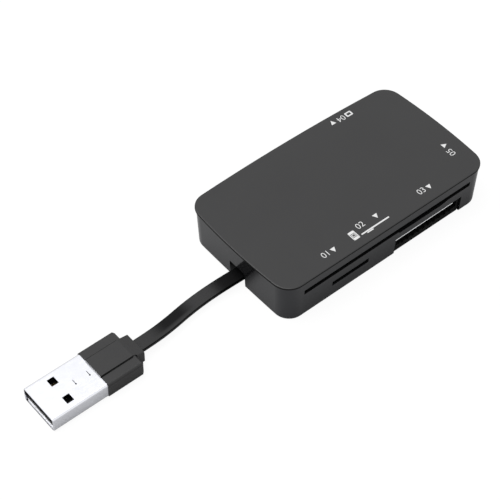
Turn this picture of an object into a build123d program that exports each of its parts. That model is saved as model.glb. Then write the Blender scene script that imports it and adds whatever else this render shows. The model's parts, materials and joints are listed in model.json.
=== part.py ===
from build123d import *
from dataclasses import dataclass
from math import radians, tan
from typing import Optional
import os

# Card reader with five card slots, a short flat cable and a slim plug.
# X runs along the case, away from the cable. The front with three slots faces -Y. Z is up.
# The origin is on the table, under the middle of the case.

# Case
case_length = 70.8
case_width = 39.2
case_height = 13.0

# Lid: thin plate with a straight front and three bowed sides
side_bow = 1.0
back_bow = 0.95
lid_corner = 5.1
lid_thickness = 0.55
lid_edge_radius = 0.25
lip_depth = 1.2
lip_thickness = 0.9
card_rib_spacing = 18.0
card_rib_width = 1.0
card_rib_from_side = 5.1
card_rib_gap = 0.1
clamp_radius = 1.5

# Walls: three stand almost upright, the one with the cable leans in towards the bottom
wall = 1.3
floor = 1.2
front_overhang = 0.3
back_overhang = 0.55
side_overhang = 0.73
upright_draft = 0.5
cable_end_draft = 3.75
wall_bow = 0.3
wall_corner = 4.5
tightest_corner = 0.6
bottom_radius = 0.5
shadow_gap = 0.25
seat_width = 0.7

# Clearances
fit_gap = 0.12
socket_gap = 0.15
board_gap = 0.4
slot_margin = 0.2

# Chip-card slot: its lower edge dips, with a short slope at one end and a long one at the other
chip_slot_shift = 0.25
chip_slot_width = 57.5
chip_slot_bottom = 8.05
chip_slot_height = 1.5
chip_dip_from_right = 14.0
chip_dip_width = 18.0
chip_dip_depth = 0.5
chip_dip_short_slope = 0.5
chip_dip_long_slope = 2.8

# Other slots: places measured from the ends of the case
stick_from_right = 20.8
stick_mouth_top = 5.55
stick_recess = 0.55
micro_from_left = 22.65
micro_slot_width = 12.3
full_from_right = 19.4
full_slot_width = 25.2
small_shift = -7.7
small_slot_width = 13.0
slot_lead_in = 0.06

# Board and the posts that carry it
board_bottom = 5.65
board_thickness = 0.8
post_radius = 1.3
post_from_end = 4.4
post_from_side = 7.1
pin_radius = 0.6
pin_height = 0.6

# Cards and the sockets that take them
stick_card_width = 21.7
stick_rail = 0.7
stick_depth = 14.4
stick_plate = 0.75
stick_pocket = 2.85
stick_contacts = 10
stick_pitch = 1.9
micro_card_width = 11.3
micro_rail = 1.1
micro_depth = 14.2
micro_plate = 0.35
micro_pocket = 1.2
micro_contacts = 8
micro_pitch = 1.1
full_card_width = 24.4
full_rail = 1.0
full_depth = 13.6
full_plate = 0.7
full_pocket = 2.4
full_contacts = 9
full_pitch = 2.5
small_card_width = 12.7
small_rail = 0.5
small_depth = 11.0
small_plate = 0.35
small_pocket = 1.25
small_contacts = 9
small_pitch = 1.1

# Sheet metal, springs and moulded details of the sockets
shell_sheet = 0.2
shell_setback = 1.2
window_width_share = 0.6
window_depth_share = 0.2
window_place_share = 0.55
spring_sheet = 0.15
spring_width = 0.6
spring_start_share = 0.35
spring_rise_share = 0.45
spring_tip_run = 1.0
spring_slope_run = 2.0
groove_depth = 0.22
rear_block = 2.4
tail_gap = 0.1
tail_foot = 0.7
roof_lead = 0.4
roof_notch = 2.9
apron_lift = 0.15
comb_width = 0.9
comb_length = 2.4
comb_depth = 0.5
foot_width = 1.6
foot_length = 0.9
foot_inset = 2.6

# Contact block of the chip card
chip_rows = 7.62
chip_pitch = 2.54
chip_center = (-3.0, 0.4)
chip_spring_length = 4.6
carrier_width = 13.0
carrier_length = 15.0
carrier_height = 1.6
carrier_corner = 0.6
carrier_arm_width = 3.0
carrier_arm_height = 0.6
carrier_arm_spacing = 9.0
card_stop_from_back = 5.2
card_stop_length = 40.0
card_stop_thickness = 1.2

# Parts soldered on top of the board: the chip is placed from the cable end, the crystal from
# the card stop, the capacitors from the chip
package_from_left = 16.4
package_shift = 5.0
package_width = 7.0
package_height = 0.85
package_corner = 0.3
package_mark_radius = 0.35
package_mark_inset = 0.9
package_mark_depth = 0.1
crystal_gap = 0.55
crystal_width = 3.2
crystal_length = 2.5
crystal_height = 0.75
crystal_corner = 0.4
capacitor_offsets = [(5.8, -14.0), (4.0, -14.0), (0.0, -5.6), (-2.0, -5.6), (-5.6, -1.0), (-5.6, 1.0)]
capacitor_width = 0.6
capacitor_length = 1.2
capacitor_height = 0.6

# Cable pocket in the left wall
pocket_center = -0.5
pocket_width = 5.8
pocket_height = 5.4
pocket_depth = 7.0
pocket_wall = 1.1

# Flat cable with its strain relief and its four conductors
cable_width = 3.8
cable_thickness = 1.5
cable_edge_radius = 0.6
exit_y = -0.72
exit_z = 2.3
relief_stub = 1.0
relief_width = 4.8
relief_height = 2.2
relief_flange = 0.7
relief_flange_thickness = 1.0
wire_radius = 0.35
wire_pitch = 0.9
wire_bend = 1.4
wire_reach = 3.6
bend_share = 0.45

# Plug
plug_y = -2.77
plug_z = 2.7
plug_mouth_x = -96.0
shell_width = 12.0
shell_height = 4.5
shell_wall = 0.3
shell_corner = 0.7
shell_exposed = 15.7
shell_buried = 3.0
shell_lead_in = 0.12
shell_seam = 0.1
latch_length = 1.95
latch_width = 2.25
latch_from_mouth = 6.35
latch_spacing = 6.2
mark_from_seam = [5.5, 1.5]
mark_shift = -0.15
mark_length = 1.4
mark_width = 0.16
mark_dot_radius = 0.22
mark_depth = 0.12
tongue_thickness = 1.85
tongue_recess = 0.4
tongue_reach = 12.0
tongue_side_gap = 0.1
strip_width = 1.0
strip_thickness = 0.2
strip_proud = 0.06
strip_outer = 3.5
strip_inner = 1.0
strip_outer_recess = 0.9
strip_inner_recess = 1.9
grip_width = 12.5
grip_height = 4.7
grip_length = 10.5
grip_corner = 0.7
grip_end_chamfer = 0.5
panel_width = 6.1
panel_rise = 0.35
panel_ramp = 1.1
panel_groove_width = 0.3
panel_groove_depth = 0.25
neck_width = 7.0
neck_height = 3.7
neck_root_height = 4.5
neck_length = 2.1
neck_corner = 0.4

# Places worked out from the sizes above
half_length = case_length / 2
half_width = case_width / 2
lid_bottom = case_height - lid_thickness
rim_height = lid_bottom - shadow_gap
board_top = board_bottom + board_thickness
chip_slot_top = chip_slot_bottom + chip_slot_height
card_stop_y = half_width - card_stop_from_back
pocket_end = -half_length + pocket_depth
post_x = half_length - post_from_end
post_y = half_width - post_from_side
clamp_places = [(-post_x, -post_y), (-post_x, post_y), (post_x, post_y)]
post_places = [*clamp_places, (post_x, -post_y)]


def lean(height, draft):
    """Distance by which a wall leans in between the rim and a height."""
    return (rim_height - height) * tan(radians(draft))


def front_inset(height):
    """Distance from the lid's front edge in to the outer face of the front wall."""
    return front_overhang + lean(height, upright_draft)


def back_inset(height):
    """Distance from the lid's back edge in to the outer face of the back wall."""
    return back_overhang + lean(height, upright_draft)


def left_inset(height):
    """Distance from the lid's left edge in to the outer face of the wall with the cable."""
    return side_overhang + lean(height, cable_end_draft)


def right_inset(height):
    """Distance from the lid's right edge in to the outer face of the right wall."""
    return side_overhang + lean(height, upright_draft)


def bowed_plan(front, back, left, right, bow, radius):
    """Plan with a straight front, bowed sides, a bowed back and round corners.

    The front and the back are given by their Y, the sides by their X at the middle of their bow.
    """
    corner_left = left + bow
    corner_right = right - bow
    corner_y = back - back_bow
    center = (left + right) / 2
    middle = (front + corner_y) / 2
    with BuildSketch(mode=Mode.PRIVATE) as plan:
        with BuildLine():
            Line((corner_left, front), (corner_right, front))
            ThreePointArc((corner_right, front), (right, middle), (corner_right, corner_y))
            ThreePointArc((corner_right, corner_y), (center, back), (corner_left, corner_y))
            ThreePointArc((corner_left, corner_y), (left, middle), (corner_left, front))
        make_face()
        fillet(plan.vertices(), max(radius, tightest_corner))
    return plan.sketch


def lid_plan():
    """Plan of the lid."""
    return bowed_plan(-half_width, half_width, -half_length, half_length, side_bow, lid_corner)


def wall_plan(height, inward):
    """Plan of the walls at a height, drawn in from their outer faces."""
    return bowed_plan(
        -half_width + front_inset(height) + inward,
        half_width - back_inset(height) - inward,
        -half_length + left_inset(height) + inward,
        half_length - right_inset(height) - inward,
        wall_bow,
        wall_corner - inward,
    )


def right_wall(along, height, inward):
    """Reach of the bowed right wall at a place along Y, drawn in from its outer face."""
    side = half_length - right_inset(height) - inward
    return side - wall_bow * (along / half_width) ** 2


def back_wall(along, height, inward):
    """Reach of the bowed back wall at a place along X, drawn in from its outer face."""
    back = half_width - back_inset(height) - inward
    return back - back_bow * (along / (half_length - right_inset(height) - inward)) ** 2


def keep(part, label):
    """Label a finished piece and write its file."""
    part.label = label
    export_step(part, f"parts/{label}.step")


@dataclass
class CardSocket:
    """A card socket: plate with spring contacts, card pocket, and a sheet-metal shell over it.

    The plane lies on the outer face of the contact plate, with its origin at the middle of the
    mouth, its X across the mouth, its Y into the socket and its Z towards the shell. A socket
    with a stand-off has its board beyond the shell, others have it against the plate. A socket
    with an apron fills the lower part of its mouth and its roof leads out over it.
    """

    name: str
    plane: Plane
    card_width: float
    rail: float
    depth: float
    plate: float
    pocket: float
    contacts: int
    pitch: float
    stand_off: Optional[float] = None
    apron: float = 0.0
    apron_thickness: float = 0.0

    @property
    def inner_width(self):
        return self.card_width + 2 * self.rail

    @property
    def outer_width(self):
        return self.inner_width + 2 * shell_sheet

    @property
    def height(self):
        return self.plate + self.pocket + shell_sheet

    @property
    def board_level(self):
        if self.stand_off is None:
            return spring_sheet / 2
        return self.height + self.stand_off - spring_sheet / 2

    @property
    def contact_places(self):
        first = -self.pitch * (self.contacts - 1) / 2
        return [first + self.pitch * i for i in range(self.contacts)]

    @property
    def spring_start(self):
        return self.depth * spring_start_share


def socket_body(socket):
    """Moulded insulator: contact plate, side rails and a rear block with a groove per contact."""
    with BuildPart() as body:
        with BuildSketch(socket.plane):
            Rectangle(socket.inner_width, socket.depth, align=(Align.CENTER, Align.MIN))
        extrude(amount=socket.plate + socket.pocket)
        with BuildSketch(socket.plane.offset(socket.plate)):
            Rectangle(
                socket.card_width,
                socket.depth - rear_block,
                align=(Align.CENTER, Align.MIN),
            )
        extrude(amount=socket.pocket, mode=Mode.SUBTRACT)
        with BuildSketch(socket.plane.offset(socket.plate - groove_depth)):
            with Locations(*[(place, socket.spring_start) for place in socket.contact_places]):
                Rectangle(
                    spring_width + 2 * fit_gap,
                    socket.depth - socket.spring_start,
                    align=(Align.CENTER, Align.MIN),
                )
        extrude(amount=groove_depth, mode=Mode.SUBTRACT)
        if socket.apron > 0:
            with BuildSketch(socket.plane):
                Rectangle(
                    socket.inner_width,
                    socket.apron_thickness,
                    align=(Align.CENTER, Align.MIN),
                )
            extrude(amount=-socket.apron)
            with BuildSketch(socket.plane.offset(socket.plate - comb_depth)):
                with Locations(*[(place, 0) for place in socket.contact_places]):
                    Rectangle(comb_width, comb_length, align=(Align.CENTER, Align.MIN))
            extrude(amount=comb_depth, mode=Mode.SUBTRACT)
        if socket.stand_off is not None:
            with BuildSketch(socket.plane.offset(socket.plate + socket.pocket)):
                with Locations((0, socket.depth)):
                    with GridLocations(socket.inner_width - 2 * foot_inset, 0, 2, 1):
                        Rectangle(foot_width, foot_length, align=(Align.CENTER, Align.MAX))
            extrude(amount=shell_sheet + socket.stand_off)
    return body.part


def socket_shell(socket):
    """Folded sheet-metal cover: roof, two sides, and a stamped window in the roof."""
    covered = socket.depth - shell_setback
    side_start = 0.0
    if socket.apron > 0:
        side_start = socket.apron_thickness
    with BuildPart() as shell:
        with BuildSketch(socket.plane):
            with Locations((0, side_start)):
                Rectangle(
                    socket.outer_width,
                    covered - side_start,
                    align=(Align.CENTER, Align.MIN),
                )
                Rectangle(
                    socket.inner_width,
                    covered - side_start,
                    align=(Align.CENTER, Align.MIN),
                    mode=Mode.SUBTRACT,
                )
        extrude(amount=socket.height)
        with BuildSketch(socket.plane.offset(socket.height - shell_sheet)):
            Rectangle(socket.outer_width, covered, align=(Align.CENTER, Align.MIN))
            if socket.apron > 0:
                with Locations((-socket.outer_width / 2, 0)):
                    Rectangle(
                        socket.outer_width - roof_notch,
                        roof_lead,
                        align=(Align.MIN, Align.MAX),
                    )
            with Locations((0, socket.depth * window_place_share)):
                SlotOverall(
                    socket.card_width * window_width_share,
                    socket.depth * window_depth_share,
                    mode=Mode.SUBTRACT,
                )
        extrude(amount=shell_sheet)
    return shell.part


def socket_contacts(socket):
    """Formed springs: a raised tip in the pocket, a run in its groove, and a soldered foot."""
    level = socket.plate - groove_depth + spring_sheet / 2
    riser = socket.depth + tail_gap + spring_sheet / 2
    tip_height = level + socket.pocket * spring_rise_share
    start = socket.spring_start + 2 * fit_gap
    tip = start + spring_tip_run
    profile = [
        (start, tip_height - spring_sheet),
        (tip, tip_height),
        (tip + spring_slope_run, level),
        (riser, level),
        (riser, socket.board_level),
        (riser + tail_foot, socket.board_level),
    ]
    with BuildPart() as contacts:
        for place in socket.contact_places:
            section = Plane(
                origin=socket.plane.from_local_coords((place, 0, 0)),
                x_dir=socket.plane.y_dir,
                z_dir=socket.plane.x_dir,
            )
            with BuildSketch(section):
                with BuildLine():
                    Polyline(*profile)
                trace(line_width=spring_sheet)
            extrude(amount=spring_width / 2, both=True)
    return contacts.part


# Card sockets. Three lie between the floor and the board, the small one lies on the board.
front_inner_y = -half_width + front_inset(0) + wall
stick_center = half_length - stick_from_right
stick_floor = floor + socket_gap
stick_roof = stick_floor + stick_plate + stick_pocket + shell_sheet
stick_front_y = -half_width + front_inset(0) + stick_recess
stick_socket = CardSocket(
    name="stick_card_socket",
    plane=Plane((stick_center, stick_front_y, stick_floor), x_dir=(1, 0, 0), z_dir=(0, 0, 1)),
    card_width=stick_card_width,
    rail=stick_rail,
    depth=stick_depth,
    plate=stick_plate,
    pocket=stick_pocket,
    contacts=stick_contacts,
    pitch=stick_pitch,
    stand_off=board_bottom - stick_roof,
    apron=stick_floor - apron_lift,
    apron_thickness=wall - stick_recess - socket_gap,
)

micro_center = -half_length + micro_from_left
micro_floor = board_bottom - micro_plate - micro_pocket - shell_sheet
micro_mouth_y = front_inner_y + socket_gap
micro_socket = CardSocket(
    name="micro_card_socket",
    plane=Plane((micro_center, micro_mouth_y, board_bottom), x_dir=(-1, 0, 0), z_dir=(0, 0, -1)),
    card_width=micro_card_width,
    rail=micro_rail,
    depth=micro_depth,
    plate=micro_plate,
    pocket=micro_pocket,
    contacts=micro_contacts,
    pitch=micro_pitch,
)

full_center = half_length - full_from_right
full_floor = board_bottom - full_plate - full_pocket - shell_sheet
full_side = full_center + full_card_width / 2 + full_rail + shell_sheet
full_mouth_y = back_wall(full_side, full_floor, wall + socket_gap)
full_socket = CardSocket(
    name="full_card_socket",
    plane=Plane((full_center, full_mouth_y, board_bottom), x_dir=(1, 0, 0), z_dir=(0, 0, -1)),
    card_width=full_card_width,
    rail=full_rail,
    depth=full_depth,
    plate=full_plate,
    pocket=full_pocket,
    contacts=full_contacts,
    pitch=full_pitch,
)

small_side = small_shift - small_card_width / 2 - small_rail - shell_sheet
small_mouth_x = right_wall(small_side, board_top, wall + socket_gap)
small_stick_socket = CardSocket(
    name="small_stick_socket",
    plane=Plane((small_mouth_x, small_shift, board_top), x_dir=(0, 1, 0), z_dir=(0, 0, 1)),
    card_width=small_card_width,
    rail=small_rail,
    depth=small_depth,
    plate=small_plate,
    pocket=small_pocket,
    contacts=small_contacts,
    pitch=small_pitch,
)

os.makedirs("parts", exist_ok=True)

for socket in [stick_socket, micro_socket, full_socket, small_stick_socket]:
    keep(socket_body(socket), f"{socket.name}_body")
    keep(socket_shell(socket), f"{socket.name}_shell")
    keep(socket_contacts(socket), f"{socket.name}_contacts")

# Housing: drafted tub with a stepped rim, board posts, a cable pocket and its slots
slot_face_y = front_inner_y - wall / 2
with BuildPart() as housing:
    with BuildSketch(Plane.XY):
        add(wall_plan(0, 0))
    with BuildSketch(Plane.XY.offset(rim_height)):
        add(wall_plan(rim_height, 0))
    loft(ruled=True)
    fillet(housing.faces().sort_by(Axis.Z)[0].edges(), bottom_radius)
    with BuildSketch(Plane.XY.offset(floor)):
        add(wall_plan(floor, wall))
    with BuildSketch(Plane.XY.offset(rim_height)):
        add(wall_plan(rim_height, wall))
    loft(ruled=True, mode=Mode.SUBTRACT)
    with BuildSketch(Plane.XY.offset(rim_height)):
        add(wall_plan(rim_height, wall - seat_width))
        add(wall_plan(rim_height, wall), mode=Mode.SUBTRACT)
    extrude(amount=shadow_gap)
    with BuildSketch(Plane.XY.offset(floor)):
        with Locations(*post_places):
            Circle(post_radius)
    extrude(amount=board_bottom - floor)
    with BuildSketch(Plane.XY.offset(board_bottom)):
        with Locations(*clamp_places):
            Circle(pin_radius)
    extrude(amount=board_thickness + pin_height)

    # Cable pocket: a box on the left wall, hollow from below and from the left
    pocket_start = -half_length + left_inset(floor) + wall / 2
    with BuildSketch(Plane.XY.offset(floor)):
        with Locations((pocket_start, pocket_center)):
            Rectangle(
                pocket_end + pocket_wall - pocket_start,
                pocket_width + 2 * pocket_wall,
                align=(Align.MIN, Align.CENTER),
            )
    extrude(amount=pocket_height + pocket_wall - floor)
    with BuildSketch(Plane.XY):
        with Locations((-half_length, pocket_center)):
            Rectangle(pocket_depth, pocket_width, align=(Align.MIN, Align.CENTER))
    extrude(amount=pocket_height, mode=Mode.SUBTRACT)
    with BuildSketch(Plane.YZ.offset(pocket_end)):
        with Locations((exit_y, exit_z)):
            Rectangle(relief_width, relief_height)
    extrude(amount=pocket_wall, mode=Mode.SUBTRACT)

    # Front slots: one open at the bottom for the stick card, one for the micro card
    with BuildSketch(Plane.XZ.offset(-front_inner_y)):
        with Locations((stick_center, stick_mouth_top)):
            Rectangle(
                stick_socket.outer_width + 2 * socket_gap,
                stick_mouth_top,
                align=(Align.CENTER, Align.MAX),
            )
    extrude(amount=half_width + front_inner_y, mode=Mode.SUBTRACT)
    with BuildSketch(Plane.XZ.offset(-front_inner_y)):
        with Locations((micro_center, micro_floor)):
            Rectangle(
                micro_slot_width,
                micro_pocket + shell_sheet + fit_gap,
                align=(Align.CENTER, Align.MIN),
            )
    extrude(amount=half_width + front_inner_y, mode=Mode.SUBTRACT)
    micro_edges = housing.edges(Select.LAST).filter_by(lambda edge: edge.center().Y < slot_face_y)
    chamfer(micro_edges.filter_by(Axis.Y, reverse=True), slot_lead_in)

    # Front slot of the chip card, with the dip in its lower edge
    dip_right = half_length - chip_dip_from_right
    dip_left = dip_right - chip_dip_width
    dip_bottom = chip_slot_bottom - chip_dip_depth
    with BuildSketch(Plane.XZ.offset(-front_inner_y)):
        with Locations((chip_slot_shift, chip_slot_bottom)):
            Rectangle(chip_slot_width, chip_slot_height, align=(Align.CENTER, Align.MIN))
        with BuildLine():
            Polyline(
                (dip_left, chip_slot_bottom),
                (dip_left + chip_dip_short_slope, dip_bottom),
                (dip_right - chip_dip_long_slope, dip_bottom),
                (dip_right, chip_slot_bottom),
                close=True,
            )
        make_face()
    extrude(amount=half_width + front_inner_y, mode=Mode.SUBTRACT)

    # Back slot and right slot
    with BuildSketch(Plane.XZ.offset(-full_mouth_y)):
        with Locations((full_center, full_floor)):
            Rectangle(
                full_slot_width,
                full_pocket + shell_sheet + slot_margin,
                align=(Align.CENTER, Align.MIN),
            )
    extrude(amount=full_mouth_y - half_width, mode=Mode.SUBTRACT)
    with BuildSketch(Plane.YZ.offset(small_mouth_x)):
        with Locations((small_shift, board_top + small_plate - slot_margin)):
            Rectangle(
                small_slot_width,
                small_pocket + 2 * slot_margin,
                align=(Align.CENTER, Align.MIN),
            )
    extrude(amount=half_length - small_mouth_x, mode=Mode.SUBTRACT)
keep(housing.part, "housing")

# Lid: thin plate with a soft edge, a locating lip, card ribs and tubes that hold the board down
lip_inset = wall + fit_gap
with BuildPart() as top_cover:
    with BuildSketch(Plane.XY.offset(lid_bottom)):
        add(lid_plan())
    extrude(amount=lid_thickness)
    fillet(top_cover.faces().sort_by(Axis.Z)[-1].edges(), lid_edge_radius)
    with BuildSketch(Plane.XY.offset(lid_bottom)):
        add(wall_plan(lid_bottom - lip_depth, lip_inset))
        add(wall_plan(lid_bottom - lip_depth, lip_inset + lip_thickness), mode=Mode.SUBTRACT)
    extrude(amount=-lip_depth)
    with BuildSketch(Plane.XY.offset(lid_bottom)):
        with GridLocations(card_rib_spacing, 0, 3, 1):
            Rectangle(card_rib_width, case_width - 2 * card_rib_from_side)
    extrude(amount=chip_slot_top + card_rib_gap - lid_bottom)
    with BuildSketch(Plane.XY.offset(lid_bottom)):
        with Locations(*clamp_places):
            Circle(clamp_radius)
            Circle(pin_radius + fit_gap, mode=Mode.SUBTRACT)
    extrude(amount=board_top - lid_bottom)
keep(top_cover.part, "top_cover")

# Circuit board: follows the wall, with holes for the pins and a cut-out round the cable pocket
with BuildPart() as main_board:
    with BuildSketch(Plane.XY.offset(board_bottom)):
        add(wall_plan(board_bottom, wall + board_gap))
        with Locations(*clamp_places):
            Circle(pin_radius + fit_gap, mode=Mode.SUBTRACT)
        with Locations((-half_length, pocket_center)):
            Rectangle(
                pocket_depth + pocket_wall + board_gap,
                pocket_width + 2 * (pocket_wall + board_gap),
                align=(Align.MIN, Align.CENTER),
                mode=Mode.SUBTRACT,
            )
    extrude(amount=board_thickness)
keep(main_board.part, "main_board")

# Chip-card contact block: raised plate with eight spring windows, two arms and a card stop
chip_x, chip_y = chip_center
chip_columns = [chip_x + chip_pitch * (i - 1.5) for i in range(4)]
chip_row_places = [chip_y - chip_rows / 2, chip_y + chip_rows / 2]
with BuildPart() as chip_card_carrier:
    with BuildSketch(Plane.XY.offset(board_top)):
        with Locations(chip_center):
            RectangleRounded(carrier_width, carrier_length, carrier_corner)
    extrude(amount=carrier_height)
    with BuildSketch(Plane.XY.offset(board_top)):
        with Locations(chip_center):
            with GridLocations(carrier_arm_spacing, 0, 2, 1):
                Rectangle(
                    carrier_arm_width,
                    card_stop_y - chip_y,
                    align=(Align.CENTER, Align.MIN),
                )
    extrude(amount=carrier_arm_height)
    with BuildSketch(Plane.XY.offset(board_top)):
        with Locations((chip_slot_shift, card_stop_y)):
            Rectangle(card_stop_length, card_stop_thickness)
    extrude(amount=chip_slot_top - board_top)
    with BuildSketch(Plane.XY.offset(board_top)):
        with Locations(*[(x, y) for x in chip_columns for y in chip_row_places]):
            Rectangle(spring_width + 4 * fit_gap, chip_spring_length + 2 * fit_gap)
    extrude(amount=carrier_height, mode=Mode.SUBTRACT)
keep(chip_card_carrier.part, "chip_card_carrier")

with BuildPart() as chip_card_contacts:
    for x in chip_columns:
        for y in chip_row_places:
            with BuildSketch(Plane((x, y, board_top), x_dir=(0, 1, 0), z_dir=(1, 0, 0))):
                with BuildLine():
                    Polyline(
                        (-chip_spring_length / 2, spring_sheet / 2),
                        (-chip_spring_length / 4, spring_sheet / 2),
                        (chip_spring_length / 4, carrier_height + spring_sheet),
                        (chip_spring_length / 2, carrier_height - spring_sheet),
                    )
                trace(line_width=spring_sheet)
            extrude(amount=spring_width / 2, both=True)
keep(chip_card_contacts.part, "chip_card_contacts")

# Parts soldered on top of the board
package_x = -half_length + package_from_left
package_y = package_shift
package_mark_reach = package_width / 2 - package_mark_inset
with BuildPart() as controller_chip:
    with BuildSketch(Plane.XY.offset(board_top)):
        with Locations((package_x, package_y)):
            Rectangle(package_width, package_width)
    extrude(amount=package_height)
    chamfer(controller_chip.edges().filter_by(Axis.Z), package_corner)
    with BuildSketch(Plane.XY.offset(board_top + package_height)):
        with Locations((package_x - package_mark_reach, package_y - package_mark_reach)):
            Circle(package_mark_radius)
    extrude(amount=-package_mark_depth, mode=Mode.SUBTRACT)
keep(controller_chip.part, "controller_chip")

crystal_y = card_stop_y - (card_stop_thickness + crystal_length) / 2 - crystal_gap
with BuildPart() as crystal:
    with BuildSketch(Plane.XY.offset(board_top)):
        with Locations((package_x, crystal_y)):
            RectangleRounded(crystal_width, crystal_length, crystal_corner)
    extrude(amount=crystal_height)
keep(crystal.part, "crystal")

with BuildPart() as capacitors:
    with BuildSketch(Plane.XY.offset(board_top)):
        with Locations((package_x, package_y)):
            with Locations(*capacitor_offsets):
                Rectangle(capacitor_width, capacitor_length)
    extrude(amount=capacitor_height)
keep(capacitors.part, "capacitors")

# Strain relief: block in the end wall of the pocket, with a flange inside and a stub outside
exit_x = pocket_end - relief_stub
relief_back = pocket_end + pocket_wall
relief_bottom = exit_z - relief_height / 2
with BuildPart() as strain_relief:
    with BuildSketch(Plane.YZ.offset(exit_x)):
        with Locations((exit_y, exit_z)):
            RectangleRounded(relief_width, relief_height, cable_edge_radius)
    extrude(amount=relief_stub)
    with BuildSketch(Plane.YZ.offset(pocket_end)):
        with Locations((exit_y, exit_z)):
            Rectangle(relief_width, relief_height)
    extrude(amount=pocket_wall)
    with BuildSketch(Plane.YZ.offset(relief_back)):
        with Locations((exit_y, relief_bottom)):
            Rectangle(
                relief_width + 2 * relief_flange,
                relief_height + relief_flange,
                align=(Align.CENTER, Align.MIN),
            )
    extrude(amount=relief_flange_thickness)
keep(strain_relief.part, "strain_relief")

# Four conductors from the strain relief up to the board
wire_start = relief_back + relief_flange_thickness
with BuildPart() as cable_wires:
    for i in range(4):
        wire_y = exit_y + wire_pitch * (i - 1.5)
        with BuildLine() as wire_line:
            FilletPolyline(
                (wire_start, wire_y, exit_z),
                (wire_start + wire_reach, wire_y, exit_z),
                (wire_start + wire_reach, wire_y, board_bottom),
                radius=wire_bend,
            )
        with BuildSketch(Plane.YZ.offset(wire_start)):
            with Locations((wire_y, exit_z)):
                Circle(wire_radius)
        sweep(path=wire_line.line)
keep(cable_wires.part, "cable_wires")

# Flat cable: leaves the strain relief level, dips to the table and rises into the neck of the plug
plug_seam_x = plug_mouth_x + shell_exposed
grip_end = plug_seam_x + grip_length
cable_route = [
    (exit_x, exit_y, exit_z),
    (-36.0, exit_y, exit_z),
    (-43.0, -0.78, 2.03),
    (-50.0, -1.05, 1.80),
    (-57.0, -2.10, 2.20),
    (-63.0, plug_y, plug_z),
    (grip_end + neck_length, plug_y, plug_z),
]


def bend_radii(route):
    """Radius at each inner point: as large as its shorter run allows."""
    points = [Vector(*point) for point in route]
    radii = []
    for before, here, after in zip(points, points[1:], points[2:]):
        turn = (here - before).get_angle(after - here)
        shorter = min((here - before).length, (after - here).length)
        radii.append(bend_share * shorter / tan(radians(turn / 2)))
    return radii


cable_radii = bend_radii(cable_route)
print("cable bend radii:", [round(radius, 1) for radius in cable_radii])
with BuildPart() as cable:
    with BuildLine() as cable_line:
        FilletPolyline(*cable_route, radius=cable_radii)
    with BuildSketch(Plane.YZ.offset(exit_x)):
        with Locations((exit_y, exit_z)):
            RectangleRounded(cable_width, cable_thickness, cable_edge_radius)
    cable_section = cable.pending_faces[0].area
    sweep(path=cable_line.line)
cable_length = cable_line.wire().length
print("cable length:", round(cable_length, 2))
print("cable volume over section times length:", cable.part.volume / cable_section / cable_length)
keep(cable.part, "cable")

# Plug shell: folded steel tube with a seam below, two square latch holes in each broad face
# and two punched marks on top
shell_length = shell_exposed + shell_buried
shell_top = plug_z + shell_height / 2
shell_bottom = plug_z - shell_height / 2
with BuildPart() as plug_shell:
    with BuildSketch(Plane.YZ.offset(plug_mouth_x)):
        with Locations((plug_y, plug_z)):
            RectangleRounded(shell_width, shell_height, shell_corner)
            RectangleRounded(
                shell_width - 2 * shell_wall,
                shell_height - 2 * shell_wall,
                shell_corner - shell_wall,
                mode=Mode.SUBTRACT,
            )
    extrude(amount=shell_length)
    chamfer(plug_shell.faces().sort_by(Axis.X)[0].outer_wire().edges(), shell_lead_in)
    with BuildSketch(Plane.XY.offset(shell_bottom)):
        with Locations((plug_mouth_x + latch_from_mouth, plug_y)):
            with GridLocations(0, latch_spacing, 1, 2):
                Rectangle(latch_length, latch_width)
    extrude(amount=shell_height, mode=Mode.SUBTRACT)
    with BuildSketch(Plane.XY.offset(shell_bottom)):
        with Locations((plug_mouth_x, plug_y)):
            Rectangle(shell_length, shell_seam, align=(Align.MIN, Align.CENTER))
    extrude(amount=shell_wall, mode=Mode.SUBTRACT)
    with BuildSketch(Plane.XY.offset(shell_top)):
        for distance in mark_from_seam:
            with Locations((plug_seam_x - distance, plug_y + mark_shift)):
                Rectangle(mark_width, mark_length)
            with Locations((plug_seam_x - distance, plug_y + mark_shift - mark_length / 2)):
                Circle(mark_dot_radius)
    extrude(amount=-mark_depth, mode=Mode.SUBTRACT)
keep(plug_shell.part, "plug_shell")

# Insulator in the shell: rear block, and a tongue along the lower face with four grooves
inner_width = shell_width - 2 * shell_wall
inner_height = shell_height - 2 * shell_wall
tongue_bottom = plug_z - inner_height / 2
tongue_top = tongue_bottom + tongue_thickness
strips = [
    (-strip_outer, strip_outer_recess),
    (-strip_inner, strip_inner_recess),
    (strip_inner, strip_inner_recess),
    (strip_outer, strip_outer_recess),
]
with BuildPart() as plug_tongue:
    with BuildSketch(Plane.YZ.offset(plug_mouth_x + tongue_reach)):
        with Locations((plug_y, plug_z)):
            RectangleRounded(inner_width, inner_height, shell_corner - shell_wall)
    extrude(amount=shell_length - tongue_reach)
    with BuildSketch(Plane.YZ.offset(plug_mouth_x + tongue_recess)):
        with Locations((plug_y, tongue_bottom)):
            Rectangle(
                inner_width - 2 * (shell_corner - shell_wall) - 2 * tongue_side_gap,
                tongue_thickness,
                align=(Align.CENTER, Align.MIN),
            )
    extrude(amount=tongue_reach - tongue_recess)
    with BuildSketch(Plane.XY.offset(tongue_top)):
        for across, recess in strips:
            with Locations((plug_mouth_x + recess, plug_y + across)):
                Rectangle(tongue_reach - recess, strip_width, align=(Align.MIN, Align.CENTER))
    extrude(amount=strip_proud - strip_thickness, mode=Mode.SUBTRACT)
keep(plug_tongue.part, "plug_tongue")

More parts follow.
